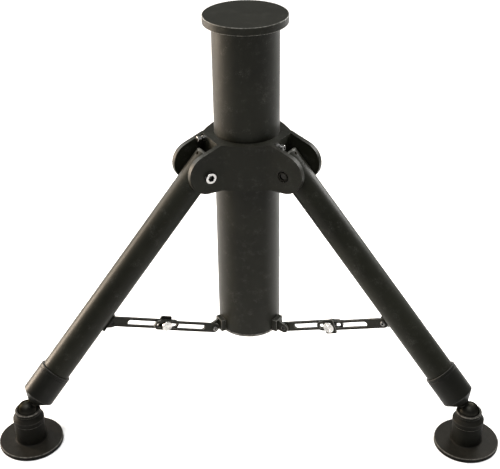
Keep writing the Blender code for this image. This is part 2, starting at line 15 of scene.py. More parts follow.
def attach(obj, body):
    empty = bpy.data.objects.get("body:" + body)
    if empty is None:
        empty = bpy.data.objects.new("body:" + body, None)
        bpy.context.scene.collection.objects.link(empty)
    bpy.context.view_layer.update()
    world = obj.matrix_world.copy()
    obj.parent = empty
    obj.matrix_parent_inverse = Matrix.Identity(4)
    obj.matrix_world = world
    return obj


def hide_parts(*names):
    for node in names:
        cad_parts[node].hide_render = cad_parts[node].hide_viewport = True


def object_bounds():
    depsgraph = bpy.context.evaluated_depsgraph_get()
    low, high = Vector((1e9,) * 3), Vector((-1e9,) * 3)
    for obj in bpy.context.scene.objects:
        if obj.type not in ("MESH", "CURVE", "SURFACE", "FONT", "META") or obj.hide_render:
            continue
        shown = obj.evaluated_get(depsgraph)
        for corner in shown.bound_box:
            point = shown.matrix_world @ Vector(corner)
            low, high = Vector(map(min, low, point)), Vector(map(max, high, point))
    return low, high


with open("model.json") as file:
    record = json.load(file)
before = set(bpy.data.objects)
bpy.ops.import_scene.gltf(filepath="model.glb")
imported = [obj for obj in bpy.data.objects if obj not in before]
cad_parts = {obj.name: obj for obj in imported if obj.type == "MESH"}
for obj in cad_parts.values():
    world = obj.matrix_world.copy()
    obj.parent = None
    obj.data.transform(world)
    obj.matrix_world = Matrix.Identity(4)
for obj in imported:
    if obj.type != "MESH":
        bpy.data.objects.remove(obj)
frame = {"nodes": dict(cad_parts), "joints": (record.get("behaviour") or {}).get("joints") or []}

cad_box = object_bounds()
JOINTS = {joint["name"]: joint for joint in frame["joints"]}
SIDES = ("left", "right", "rear")

# Facets round a full turn of the fine turned pieces
WIDE = 160
ROUND = 112
SMALL = 64

# ---- Places, read from the frame ----


def axes(origin, along_x, along_y):
    """A frame's matrix from its origin, its X and its Y."""
    x = Vector(along_x).normalized()
    y = Vector(along_y).normalized()
    z = x.cross(y)
    matrix = Matrix((x, y, z)).transposed().to_4x4()
    matrix.translation = Vector(origin)
    return matrix


class Spoke:
    """One leg's frames. Y is always across the leg's plane."""

    def __init__(self, side):
        self.side = side
        hinge = JOINTS[f"{side}_leg_hinge"]
        across = Vector(hinge["axis"])
        outward = across.cross(Vector((0.0, 0.0, 1.0)))
        down = Vector(JOINTS[f"{side}_sleeve_turn"]["axis"])
        bar = Vector(JOINTS[f"{side}_clamp_slide"]["axis"])
        ball = JOINTS[f"{side}_liner_tilt"]["pos_m"]
        self.lean = math.acos(-down.z)
        self.splay, self.fold = (math.radians(limit) for limit in hinge["range_deg"])
        self.hub = axes((0.0, 0.0, 0.0), outward, across)
        self.pivot = axes(hinge["pos_m"], outward, across)
        self.leg = axes(hinge["pos_m"], across.cross(-down), across)
        self.ball = axes(ball, outward, across)
        self.stud = axes(ball, across.cross(-down), across)
        self.inner = axes(JOINTS[f"{side}_inner_bar_hinge"]["pos_m"], bar, across)
        self.outer = axes(JOINTS[f"{side}_outer_bar_hinge"]["pos_m"], bar, across)
        self.clamp = axes(JOINTS[f"{side}_knob_turn"]["pos_m"], bar, across)


def extent(node, place=None):
    """A CAD node's lowest and highest coordinates in a frame."""
    inverse = (place or Matrix.Identity(4)).inverted()
    points = np.array([inverse @ vertex.co for vertex in frame["nodes"][node].data.vertices])
    return Vector(points.min(0)), Vector(points.max(0))


# ---- Materials ----

COAT_SHINE = 0.11  # specular level, where a plain lacquer has 0.5
CAST_SHINE = 0.045
# The near black for painted shade in screw threads and sockets; sleeves and pin heads are also darkened
# towards it
SHADE_AND_DARK_TONE = (0.003, 0.003, 0.0025)  # the colour that shaded faces go to


class Nodes:
    """Short names for one material's nodes."""

    def __init__(self, name):
        self.material = bpy.data.materials.new(name)
        self.material.use_nodes = True
        self.tree = self.material.node_tree
        self.shader = self.tree.nodes["Principled BSDF"]
        where = self.add("ShaderNodeTexCoord")
        self.place = where.outputs["Object"]
        self.facing = where.outputs["Normal"]

    def add(self, kind, **values):
        node = self.tree.nodes.new(kind)
        for key, value in values.items():
            setattr(node, key, value)
        return node

    def link(self, output, target):
        self.tree.links.new(output, target)

    def noise(self, scale, detail=2.0, roughness=0.5, stretch=None):
        """Noise over the surface, drawn out along the axes where stretch is small."""
        node = self.add("ShaderNodeTexNoise")
        place = self.place
        if stretch:
            mapping = self.add("ShaderNodeMapping")
            mapping.inputs["Scale"].default_value = stretch
            self.link(place, mapping.inputs["Vector"])
            place = mapping.outputs["Vector"]
        self.link(place, node.inputs["Vector"])
        node.inputs["Scale"].default_value = scale
        node.inputs["Detail"].default_value = detail
        node.inputs["Roughness"].default_value = roughness
        return node.outputs["Fac"]

    def span(self, value, low, high, to_low=0.0, to_high=1.0):
        """Stretches the range from low to high over the one from to_low to to_high."""
        node = self.add("ShaderNodeMapRange", clamp=True)
        self.link(value, node.inputs["Value"])
        for name, number in (("From Min", low), ("From Max", high), ("To Min", to_low), ("To Max", to_high)):
            node.inputs[name].default_value = number
        return node.outputs["Result"]

    def math(self, operation, first, second):
        """One step of arithmetic on two values, each a number or an output."""
        node = self.add("ShaderNodeMath", operation=operation)
        for socket, value in zip(node.inputs, (first, second)):
            if isinstance(value, float):
                socket.default_value = value
            else:
                self.link(value, socket)
        return node.outputs["Value"]

    def blend(self, factor, first, second):
        """Mixes two colours, each a tuple or an output."""
        node = self.add("ShaderNodeMix", data_type="RGBA")
        self.link(factor, node.inputs["Factor"])
        for socket, value in ((node.inputs[6], first), (node.inputs[7], second)):
            if isinstance(value, tuple):
                socket.default_value = (*value, 1.0)
            else:
                self.link(value, socket)
        return node.outputs[2]

    def bump(self, height, depth, below=None):
        """A relief of the given depth, on top of the relief below it."""
        node = self.add("ShaderNodeBump")
        node.inputs["Strength"].default_value = 1.0
        node.inputs["Distance"].default_value = depth
        self.link(height, node.inputs["Height"])
        if below:
            self.link(below, node.inputs["Normal"])
        return node.outputs["Normal"]

    def attribute(self, name):
        return self.add("ShaderNodeAttribute", attribute_name=name).outputs["Fac"]

    def upward(self):
        """How far the surface faces up, from 0 on a wall to 1 on a level top."""
        split = self.add("ShaderNodeSeparateXYZ")
        self.link(self.facing, split.inputs["Vector"])
        return self.span(split.outputs["Z"], 0.55, 0.95)


def powder_coat(name, dark, light, dusty, wear_and_highlight, roughness, peel):
    """Semi-matt powder coat with a cloudy tone. peel is how deep its orange peel is.

    Dust lies on level faces, edges are rubbed to the wear colour, and shaded faces go to black.
    The edge colour is partly real wear and partly a painted highlight along the lit edges.
    """
    n = Nodes(name)
    n.shader.inputs["Specular IOR Level"].default_value = COAT_SHINE
    cloud = n.noise(9.0, 4.0, 0.6)
    speck = n.noise(420.0, 3.0, 0.7)
    tone = n.blend(n.span(cloud, 0.3, 0.7), dark, light)
    lying = n.math("MULTIPLY", n.upward(), n.span(n.noise(14.0, 5.0, 0.65), 0.25, 0.7, 0.55, 1.0))
    tone = n.blend(n.math("MULTIPLY", lying, 0.8), tone, dusty)
    dust = n.math("MULTIPLY", n.span(n.noise(34.0, 6.0, 0.72), 0.52, 0.8), n.span(speck, 0.45, 0.7))
    tone = n.blend(n.math("MULTIPLY", dust, 0.3), tone, wear_and_highlight)
    # Edges take the wear colour: partly real rubbed coat, partly a painted highlight along lit edges
    rub_and_highlight = n.math("MULTIPLY", n.attribute("edge"), n.span(n.noise(150.0, 5.0, 0.7), 0.3, 0.62))
    tone = n.blend(n.math("MULTIPLY", rub_and_highlight, 0.85), tone, wear_and_highlight)
    tone = n.blend(n.attribute("shade"), tone, SHADE_AND_DARK_TONE)
    n.link(tone, n.shader.inputs["Base Color"])
    rough = n.span(cloud, 0.25, 0.75, roughness - 0.04, roughness + 0.06)
    rough = n.math("SUBTRACT", rough, n.math("MULTIPLY", rub_and_highlight, 0.08))
    n.link(n.math("ADD", rough, n.math("MULTIPLY", dust, 0.12)), n.shader.inputs["Roughness"])
    fine = n.bump(n.noise(1500.0, 2.0, 0.5), peel)
    n.link(n.bump(n.noise(260.0, 2.0, 0.5), 1.6 * peel, fine), n.shader.inputs["Normal"])
    return n.material


def casting(name, dark, light, dusty, wear_and_highlight):
    """Coated sand casting: grainy, mottled, with brown dust on its level faces."""
    n = Nodes(name)
    n.shader.inputs["Specular IOR Level"].default_value = CAST_SHINE
    cloud = n.noise(26.0, 5.0, 0.65)
    blotch = n.noise(70.0, 6.0, 0.7)
    grain = n.noise(620.0, 4.0, 0.7)
    tone = n.blend(n.span(cloud, 0.3, 0.72), dark, light)
    lying = n.math("MULTIPLY", n.upward(), n.span(blotch, 0.3, 0.62, 0.35, 1.0))
    tone = n.blend(lying, tone, dusty)
    # Edges take the wear colour: partly real wear, partly a painted highlight along lit edges
    rub_and_highlight = n.math("MULTIPLY", n.attribute("edge"), n.span(n.noise(120.0, 5.0, 0.7), 0.3, 0.6))
    tone = n.blend(n.math("MULTIPLY", rub_and_highlight, 0.8), tone, wear_and_highlight)
    tone = n.blend(n.span(grain, 0.3, 0.45), dark, tone)
    n.link(tone, n.shader.inputs["Base Color"])
    n.link(n.span(grain, 0.3, 0.7, 0.66, 0.5), n.shader.inputs["Roughness"])
    n.link(n.bump(grain, 0.00022, n.bump(cloud, 0.0004)), n.shader.inputs["Normal"])
    return n.material


def metal(name, dark, light, low, high, scratch, grazing=1.0):
    """Bare metal with fine scratches and an uneven polish.

    Its roughness runs from low to high, scratch is how deep the scratches are, and grazing is how much of its
    gleam it keeps where it is seen edge-on.
    """
    n = Nodes(name)
    n.shader.inputs["Metallic"].default_value = 1.0
    n.shader.inputs["Specular Tint"].default_value = (grazing, grazing, grazing, 1.0)
    smear = n.noise(60.0, 5.0, 0.65)
    lines = n.noise(900.0, 2.0, 0.6, (1.0, 1.0, 0.06))
    tone = n.blend(n.span(smear, 0.3, 0.7), dark, light)
    # Painted shade: screw threads and sockets go near black by the shade attribute; pin heads are darkened
    # the same way
    n.link(n.blend(n.attribute("shade"), tone, SHADE_AND_DARK_TONE), n.shader.inputs["Base Color"])
    polish = n.math("ADD", n.span(smear, 0.3, 0.7, low, high), n.math("MULTIPLY", lines, 0.08))
    n.link(polish, n.shader.inputs["Roughness"])
    n.link(n.bump(lines, scratch), n.shader.inputs["Normal"])
    return n.material


def plastic(name, dark, light):
    """Moulded nylon with a faint cloudy tone."""
    n = Nodes(name)
    cloud = n.noise(80.0, 4.0, 0.6)
    n.link(n.blend(cloud, dark, light), n.shader.inputs["Base Color"])
    n.link(n.span(cloud, 0.3, 0.7, 0.45, 0.6), n.shader.inputs["Roughness"])
    n.link(n.bump(n.noise(900.0), 0.00005), n.shader.inputs["Normal"])
    return n.material


COAT = powder_coat(
    "black_coat",
    dark=(0.006, 0.0061, 0.0039),
    light=(0.0108, 0.011, 0.0073),
    dusty=(0.0145, 0.0146, 0.0114),
    wear_and_highlight=(0.2, 0.196, 0.178),
    roughness=0.44,
    peel=0.00006,
)
CAST = casting(
    "black_casting",
    dark=(0.0035, 0.0035, 0.0026),
    light=(0.008, 0.0078, 0.0062),
    dusty=(0.011, 0.0099, 0.0076),
    wear_and_highlight=(0.14, 0.132, 0.118),
)
BRIGHT = metal("bright_steel", (0.36, 0.355, 0.345), (0.56, 0.555, 0.54), 0.16, 0.28, 0.00002)
DARK = metal("dark_steel", (0.009, 0.0088, 0.0075), (0.022, 0.021, 0.018), 0.36, 0.48, 0.00003, 0.2)
NYLON = plastic("grey_nylon", (0.27, 0.265, 0.25), (0.38, 0.375, 0.36))

# ---- Shapes ----


def arc(centre, radius, start, end, steps):
    """Points along a round stretch, from one angle to another."""
    turns = (start + (end - start) * i / steps for i in range(steps + 1))
    return [(centre[0] + radius * math.cos(a), centre[1] + radius * math.sin(a)) for a in turns]


def softened(corners, steps=3):
    """An outline with some corners rounded. Each corner is (x, y) or (x, y, radius)."""
    points = []
    count = len(corners)
    for i, corner in enumerate(corners):
        here = Vector(corner[:2])
        radius = corner[2] if len(corner) > 2 else 0.0
        if radius == 0.0:
            points.append(tuple(here))
            continue
        before = (Vector(corners[i - 1][:2]) - here).normalized()
        after = (Vector(corners[(i + 1) % count][:2]) - here).normalized()
        half = before.angle(after) / 2
        trim = radius / math.tan(half)
        centre = here + (before + after).normalized() * (radius / math.sin(half))
        first = here + before * trim - centre
        last = here + after * trim - centre
        start = math.atan2(first.y, first.x)
        swing = (math.atan2(last.y, last.x) - start + math.pi) % math.tau - math.pi
        points += arc(centre, radius, start, start + swing, steps)
    return points


def turned(profile, steps=ROUND, ripple=None):
    """A closed (radius, height) outline turned about Z. ripple changes a radius with the angle and height."""
    solid = bmesh.new()
    rings = []
    for radius, height in profile:
        if radius < 1e-7:
            rings.append([solid.verts.new((0.0, 0.0, height))] * steps)
            continue
        ring = []
        for i in range(steps):
            angle = math.tau * i / steps
            far = ripple(angle, radius, height) if ripple else radius
            ring.append(solid.verts.new((far * math.cos(angle), far * math.sin(angle), height)))
        rings.append(ring)
    for lower, upper in zip(rings, rings[1:] + rings[:1]):
        for i in range(steps):
            j = (i + 1) % steps
            corners = list(dict.fromkeys((lower[i], lower[j], upper[j], upper[i])))
            if len(corners) > 2:
                solid.faces.new(corners)
    bmesh.ops.recalc_face_normals(solid, faces=solid.faces)
    mesh = bpy.data.meshes.new("turned")
    solid.to_mesh(mesh)
    solid.free()
    return mesh


def prism(outline, low, high):
    """An outline in X and Y extruded along Z."""
    solid = bmesh.new()
    bottom = solid.faces.new([solid.verts.new((x, y, low)) for x, y in outline])
    raised = bmesh.ops.extrude_face_region(solid, geom=[bottom], use_keep_orig=True)
    top = [item for item in raised["geom"] if isinstance(item, bmesh.types.BMVert)]
    bmesh.ops.translate(solid, verts=top, vec=(0.0, 0.0, high - low))
    bmesh.ops.recalc_face_normals(solid, faces=solid.faces)
    mesh = bpy.data.meshes.new("prism")
    solid.to_mesh(mesh)
    solid.free()
    return mesh


def hexagon(across_flats):
    corner = across_flats / math.sqrt(3.0)
    angles = [i * math.pi / 3 for i in range(6)]
    return [(corner * math.cos(angle), corner * math.sin(angle)) for angle in angles]


# Rotations that turn a shape's +Z to the side in their name
ALONG_X = Matrix.Rotation(math.pi / 2, 4, "Y")
ALONG_Y = Matrix.Rotation(-math.pi / 2, 4, "X")
ALONG_MINUS_Y = Matrix.Rotation(math.pi / 2, 4, "X")


def lifted(height):
    return Matrix.Translation((0.0, 0.0, height))


def evaluated(base, steps=(), bevel=None):
    """The mesh after Boolean steps, each (operation, mesh), and an edge rounding of (width, segments)."""
    body = bpy.data.objects.new("body", base)
    bpy.context.scene.collection.objects.link(body)
    tools = []
    for operation, mesh in steps:
        tool = bpy.data.objects.new("tool", mesh)
        bpy.context.scene.collection.objects.link(tool)
        tools.append(tool)
        modifier = body.modifiers.new("cut", "BOOLEAN")
        modifier.operation = operation
        modifier.solver = "EXACT"
        modifier.object = tool
    if bevel:
        modifier = body.modifiers.new("round", "BEVEL")
        modifier.width, modifier.segments = bevel
        modifier.limit_method = "ANGLE"
        modifier.angle_limit = math.radians(38.0)
    bpy.context.view_layer.update()
    result = bpy.data.meshes.new_from_object(body.evaluated_get(bpy.context.evaluated_depsgraph_get()))
    for item in (body, *tools):
        bpy.data.objects.remove(item, do_unlink=True)
    return result


def mark_edges(mesh, narrow=0.0024, low=math.radians(7.0), high=math.radians(14.0), bent_share=0.35):
    """Drops empty faces, then stores how far each face takes the edge colour: real wear and a painted
    highlight on lit edges.

    An edge face is a narrow strip that bends outwards by more than low along enough of its outline.
    Where it bends by high, it takes the full edge colour.
    """
    solid = bmesh.new()
    solid.from_mesh(mesh)
    bmesh.ops.dissolve_degenerate(solid, dist=1e-6, edges=solid.edges)
    solid.faces.index_update()
    share = np.zeros(len(solid.faces), np.float32)
    for face in solid.faces:
        around = face.calc_perimeter()
        width = 2.0 * face.calc_area() / around
        bent = sum(edge.calc_length() for edge in face.edges if edge.calc_face_angle_signed(0.0) > low)
        if width < narrow and bent > bent_share * around:
            turn = sorted(edge.calc_face_angle_signed(0.0) for edge in face.edges)[-2]
            share[face.index] = min(max((turn - low) / (high - low), 0.0), 1.0)
    solid.to_mesh(mesh)
    solid.free()
    mesh.attributes.new("edge", "FLOAT", "FACE").data.foreach_set("value", share)


def shaded(mesh, shade):
    """Stores how far each face is darkened: shade() gives the share from the face's middle."""
    cover = [shade(face.center) for face in mesh.polygons]
    mesh.attributes.new("shade", "FLOAT", "FACE").data.foreach_set("value", cover)
    return mesh


def piece(name, mesh, material, body, place=None, stands_for=None):
    """Puts a finished mesh in its place as a piece that rides on a body."""
    if place:
        mesh.transform(place)
    mark_edges(mesh)
    mesh.shade_smooth()
    mesh.set_sharp_from_angle(angle=math.radians(34.0))
    mesh.materials.clear()
    mesh.materials.append(material)
    item = bpy.data.objects.new(name, mesh)
    bpy.context.scene.collection.objects.link(item)
    modifier = item.modifiers.new("weight", "WEIGHTED_NORMAL")
    modifier.keep_sharp = True
    bpy.context.view_layer.update()
    item.data = bpy.data.meshes.new_from_object(item.evaluated_get(bpy.context.evaluated_depsgraph_get()))
    item.modifiers.clear()
    item.data.name = name
    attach(item, body)
    if stands_for:
        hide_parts(stands_for)


def cleaned(node, steps=()):
    """A CAD node's mesh with its flat faces whole again, ready for rounding."""
    solid = bmesh.new()
    solid.from_mesh(frame["nodes"][node].data)
    bmesh.ops.remove_doubles(solid, verts=solid.verts, dist=1e-6)
    bmesh.ops.dissolve_limit(
        solid,
        angle_limit=math.radians(0.5),
        verts=solid.verts,
        edges=solid.edges,
        use_dissolve_boundaries=False,
    )
    mesh = bpy.data.meshes.new(node)
    solid.to_mesh(mesh)
    solid.free()
    mesh.materials.clear()
    return evaluated(mesh, steps) if steps else mesh


def rounded_plate(node, material, body, width=0.0008, steps=()):
    """A flat-sided CAD piece after some cuts, with its edges rounded."""
    mesh = evaluated(cleaned(node, steps), bevel=(width, 3))
    piece(f"{node}_shape", mesh, material, body, None, node)


# ---- Sizes that a node's box doesn't tell ----

TOUCH = 0.0003  # the CAD model's gap between faces that touch
FIT = 0.0004  # and round a shank in its hole
CUT_PAST = 0.05  # half the length of a cutter that runs right through a leg
CUT_PROUD = 0.01  # how far a cutter stands out of the face that it enters
# How near black screw threads and sockets are painted: painted shade, as the shank ends inside a hole and the
# socket is a recess
PAINTED_HOLE_SHADE = 0.97

# Column
COLUMN_WALL = 0.0032
SPIGOT_WALL = 0.005

# Hub
EAR_EDGE = 0.0011
PIVOT_R = 0.008
PIVOT_SOCKET = 0.014  # across flats, as are all sockets and nuts
PIVOT_SOCKET_DEPTH = 0.0055
THREAD_SHORT = 0.003  # a pivot screw ends this far inside its nut
NUT_IN = {"left": "rear", "right": "left", "rear": "right"}  # the bracket that holds each leg's nut
NUT_RECESS_R = 0.0135
NUT_RECESS_CUT = 0.03  # from the nut's seat to beyond the ear
STOP_SCREW_SIDE = -0.027  # off the leg's plane
STOP_SCREW_DROP = 0.0088  # below the spacer's top
STOP_SCREW_R = 0.004
STOP_SCREW_REACH = 0.0095  # from the spacer's face to under the screw's head
STOP_SCREW_TAIL = 0.006  # from the spacer's face into it
STOP_HOLE_DEPTH = 0.04
STOP_HEAD_R = 0.0065
STOP_HEAD = 0.0095
STOP_SOCKET = 0.006
STOP_SOCKET_DEPTH = 0.005
STOP_NUT = 0.013
STOP_NUT_T = 0.0065

# Leg
TUBE_WALL = 0.003
PLUG_DEPTH = 0.022
LEG_END_EDGE = 0.006
BOSS_R = 0.015
END_CLEAR = 0.0255  # radius of the arc round the pivot that the tube's end is cut to
END_CUT_REACH = 0.037  # past the arc, to beyond the tube's side
SET_SCREW_UP_LEG = 0.027  # above the pivot
SET_SCREW_R = 0.0045
SET_SCREW_T = 0.0018
SET_SCREW_TIP_R = 0.003
SET_SCREW_TIP = 0.0008
SET_SCREW_SOCKET = 0.004
SET_SCREW_SOCKET_DEPTH = 0.0015
SET_SCREW_SEAT = 0.0024  # from the tube's side down to where its tip starts
SET_HOLE_DEPTH = 0.0035

# Sleeve and ball stud
SLEEVE_SHADE = 0.7  # the sleeve is darker than the tube
SLEEVE_GROOVE_DROP = 0.008
SLEEVE_GROOVE_DEPTH = 0.0005
SLEEVE_GROOVE_MOUTH = 0.0009  # half its width at the surface
SLEEVE_GROOVE_FLOOR = 0.0003  # and at its bottom
CONE_LENGTH = 0.019
CONE_TIP_R = 0.016
SHOULDER = 0.632  # where the sleeve's bore narrows, measured down the leg from its pivot
SHANK_R = 0.010
NECK_R = 0.0135
STUD_STEP_DROP = 0.0015  # from the sleeve's end down to the top of the stud's neck

# Foot: heights are above the ground
DISC_T = 0.011
DISC_RISE = 0.0008  # of its top face, from the rim to the hub
FOOT_HUB_R = 0.0352
FOOT_HUB_TOP = 0.0615
FOOT_BOSS_R = 0.032
SEAT_R = 0.0276
COLLAR_TOP = 0.0735
GROOVE_R = 0.028
GROOVE_BOTTOM = 0.0825
GROOVE_TOP = 0.0862
LIP_R = 0.0298
MOUTH_R = 0.0245
MOUTH_DEPTH = 0.0045
CAP_BORE_R = 0.0262
CAP_BORE_BOTTOM = 0.076

# Braces
PIN_HEAD_T = 0.0045
PIN_SHANK_R = 0.0045
PIN_SHORT = 0.002  # a pin ends this far inside its lug
PIN_SOCKET = 0.005
PIN_SOCKET_DEPTH = 0.0028
PIN_CROWN = 0.0028
PIN_DULLED = 0.7
CLAMP_HEAD_T = 0.0045
CLAMP_SHANK_R = 0.0045
KNURLS = 40
KNURL_DEPTH = 0.0006


def rod(radius, low, high, steps=SMALL):
    """A plain round bar along Z, mostly for cutting holes."""
    return turned([(0.0, low), (radius, low), (radius, high), (0.0, high)], steps)


# ---- Column ----


def column():
    """The tube, the plate on its top and the plug in its bottom."""
    low, high = extent("column_tube")
    radius = high.x
    bore = radius - COLUMN_WALL
    ends = [(bore, low.z), (radius, low.z, 0.0005), (radius, high.z, 0.0005), (bore, high.z)]
    piece("column", turned(softened(ends), WIDE), COAT, "hub", None, "column_tube")

    under = high.z + TOUCH
    base, top = extent("head_flange")
    rim = top.x
    spigot = bore - FIT
    flange = [
        (0.0, under),
        (spigot - SPIGOT_WALL, under),
        (spigot - SPIGOT_WALL, base.z),
        (spigot, base.z),
        (spigot, under),
        (rim, under, 0.0012),
        (rim, top.z, 0.0016),
        (0.0, top.z),
    ]
    piece("head_plate", turned(softened(flange, 4), WIDE), COAT, "hub", None, "head_flange")

    bottom, above = extent("column_bottom_cap")
    top = low.z - TOUCH
    cap = [
        (0.0, bottom.z),
        (radius, bottom.z, 0.0012),
        (radius, top, 0.0006),
        (spigot, top),
        (spigot, above.z),
        (spigot - SPIGOT_WALL, above.z),
        (spigot - SPIGOT_WALL, top),
        (0.0, top),
    ]
    piece("column_plug", turned(softened(cap), WIDE), COAT, "hub", None, "column_bottom_cap")


# ---- Screws: each stands on z = 0 with its shank below ----


def socket_screw(radius, head, shank, length, across_flats, depth, crown=0.0, dulled=0.0):
    """A cap screw, or with a crown a domed button-head screw, with a six-sided socket.

    Its thread and socket get a painted shade near black, as the shank ends inside a hole and the socket is a
    recess.
    The rest of it is darkened by the share dulled.
    """
    outline = [(0.0, -length), (shank, -length, 0.0006), (shank, 0.0)]
    if crown:
        brow = head - crown
        outline += [(radius, 0.0), (radius, brow, 0.25 * crown)]
        outline += [(radius * math.cos(a), brow + crown * math.sin(a)) for a in np.linspace(0.35, 1.2, 6)]
    else:
        outline += [(radius, 0.0, 0.0004), (radius, head, 0.09 * radius)]
    outline.append((0.0, head))
    socket = prism(hexagon(across_flats), head - depth, head + CUT_PROUD)
    screw = evaluated(turned(softened(outline), SMALL), [("DIFFERENCE", socket)])
    inside = 1.02 * (0.5 * across_flats)

    def shade(middle):
        in_socket = middle.z < head - TOUCH and middle.xy.length < inside
        return PAINTED_HOLE_SHADE if middle.z < -TOUCH or in_socket else dulled

    return shaded(screw, shade)


# ---- Hub ----


def nut(across_flats, thick, bore_radius):
    """A six-sided nut on z = 0 with its outer corners turned off."""
    wide = across_flats / math.sqrt(3.0) + 0.001
    slope = [(wide, thick - 0.0018), (0.5 * across_flats, thick + 0.0006)]
    barrel = turned([(0.0, -0.001), (wide, -0.001), *slope, (0.0, thick + 0.0006)], SMALL)
    bore = rod(bore_radius, -CUT_PROUD, 2.0 * CUT_PROUD)
    return evaluated(prism(hexagon(across_flats), 0.0, thick), [("INTERSECT", barrel), ("DIFFERENCE", bore)])


def hub(spoke):
    """The bracket that holds a leg's nut, then the leg's pivot screw, nut, spacer and stop screw."""
    side = spoke.side
    low, high = extent(f"pivot_nut_{side}", spoke.pivot)
    recess = rod(NUT_RECESS_R, 0.0, NUT_RECESS_CUT)
    recess.transform(spoke.pivot @ Matrix.Translation((0.0, high.y + TOUCH, 0.0)) @ ALONG_MINUS_Y)
    bracket = f"hub_bracket_{NUT_IN[side]}"
    ears = evaluated(cleaned(bracket, [("DIFFERENCE", recess)]), bevel=(EAR_EDGE, 3))
    piece(f"hub_ears_{NUT_IN[side]}", ears, COAT, "hub", None, bracket)

    tip, end = extent(f"pivot_bolt_{side}", spoke.pivot)
    head = end.y + tip.y - TOUCH
    length = end.y - head - tip.y - THREAD_SHORT
    bolt = socket_screw(end.z, head, PIVOT_R, length, PIVOT_SOCKET, PIVOT_SOCKET_DEPTH)
    place = spoke.pivot @ Matrix.Translation((0.0, end.y - head, 0.0)) @ ALONG_Y
    piece(f"pivot_screw_{side}", bolt, BRIGHT, "hub", place, f"pivot_bolt_{side}")

    across_flats = math.sqrt(3.0) * high.x
    lock = nut(across_flats, high.y - low.y, PIVOT_R + TOUCH)
    place = spoke.pivot @ Matrix.Translation((0.0, high.y, 0.0)) @ ALONG_MINUS_Y
    piece(f"lock_nut_{side}", lock, DARK, "hub", place, f"pivot_nut_{side}")

    face = extent(f"hub_spacer_{side}", spoke.hub)[1]
    place = spoke.hub @ Matrix.Translation((face.x, STOP_SCREW_SIDE, face.z - STOP_SCREW_DROP)) @ ALONG_X
    hole = rod(STOP_SCREW_R + TOUCH, -STOP_HOLE_DEPTH, CUT_PROUD)
    hole.transform(place)
    rounded_plate(f"hub_spacer_{side}", COAT, "hub", steps=[("DIFFERENCE", hole)])
    stop_nut = nut(STOP_NUT, STOP_NUT_T, STOP_SCREW_R + TOUCH)
    piece(f"stop_nut_{side}", stop_nut, BRIGHT, "hub", place @ lifted(TOUCH))
    length = STOP_SCREW_REACH + STOP_SCREW_TAIL
    stop = socket_screw(STOP_HEAD_R, STOP_HEAD, STOP_SCREW_R, length, STOP_SOCKET, STOP_SOCKET_DEPTH)
    piece(f"stop_screw_{side}", stop, BRIGHT, "hub", place @ lifted(STOP_SCREW_REACH))


# ---- Leg ----


def leg(spoke):
    """The tube with its closed top end and pivot boss, its set screw, and the lug and pin of its brace."""
    side = spoke.side
    body = f"leg_{side}"
    low, high = extent(f"leg_tube_{side}", spoke.leg)
    radius = high.x
    outline = [
        (0.0, high.z),
        (radius, high.z, LEG_END_EDGE),
        (radius, low.z, 0.0005),
        (radius - TUBE_WALL, low.z),
        (radius - TUBE_WALL, -PLUG_DEPTH),
        (0.0, -PLUG_DEPTH),
    ]
    boss = rod(BOSS_R, low.y, high.y)
    bore = rod(PIVOT_R + FIT, -CUT_PAST, CUT_PAST)
    boss.transform(ALONG_Y)
    bore.transform(ALONG_Y)
    outward = Matrix.Translation((radius, 0.0, SET_SCREW_UP_LEG)) @ ALONG_X
    hole = rod(SET_SCREW_R, -SET_HOLE_DEPTH, CUT_PROUD)
    hole.transform(outward)
    steps = [("UNION", boss), ("DIFFERENCE", end_cutter(spoke)), ("DIFFERENCE", bore), ("DIFFERENCE", hole)]
    tube = evaluated(turned(softened(outline, 8), ROUND), steps)
    piece(f"leg_{side}_tube", tube, COAT, body, spoke.leg, f"leg_tube_{side}")

    screw = socket_screw(
        SET_SCREW_R - TOUCH,
        SET_SCREW_T,
        SET_SCREW_TIP_R,
        SET_SCREW_TIP,
        SET_SCREW_SOCKET,
        SET_SCREW_SOCKET_DEPTH,
    )
    piece(f"set_screw_{side}", screw, DARK, body, spoke.leg @ outward @ lifted(-SET_SCREW_SEAT))

    rounded_plate(f"leg_lug_{side}", COAT, body, width=0.0007)
    pin(f"outer_pin_{side}", body, spoke.outer, -1.0)


def end_cutter(spoke):
    """What the tube's end loses so that it passes the hub spacer as the leg swings."""
    first = math.pi - (spoke.lean - spoke.fold)
    last = math.pi - (spoke.lean - spoke.splay)
    bend = arc((0.0, 0.0), END_CLEAR, last, first, 12)
    reach = END_CUT_REACH
    start = (bend[0][0] + reach * math.sin(last), bend[0][1] - reach * math.cos(last))
    end = (bend[-1][0] - reach * math.sin(first), bend[-1][1] + reach * math.cos(first))
    back = -0.09  # past the tube's side
    mesh = prism([start, *bend, end, (back, end[1]), (back, start[1])], -CUT_PAST, CUT_PAST)
    mesh.transform(ALONG_MINUS_Y)
    return mesh


